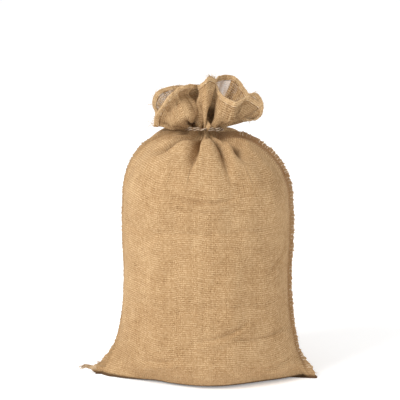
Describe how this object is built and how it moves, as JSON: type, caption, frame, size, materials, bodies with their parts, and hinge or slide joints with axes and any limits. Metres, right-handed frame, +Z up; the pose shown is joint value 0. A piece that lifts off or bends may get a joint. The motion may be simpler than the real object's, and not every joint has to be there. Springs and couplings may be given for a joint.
{
  "type": "hessian sack",
  "caption": "Filled hessian sack standing upright, its neck gathered and tied with twine under an open flaring mouth, with side seams and two bottom corners.",
  "frame": {"origin": "on the floor, at the middle of the bounding box's foot", "axes": "+Z up, X along the flat width of the sack from seam to seam, -Y its front"},
  "size_m": [0.506, 0.268, 0.6606],
  "materials": {
    "hessian": "open plain jute weave, matt",
    "twine": "twisted jute twine, matt"
  },
  "bodies": {
    "root": {"sack": "hessian", "tie": "twine"}
  },
  "joints": []
}
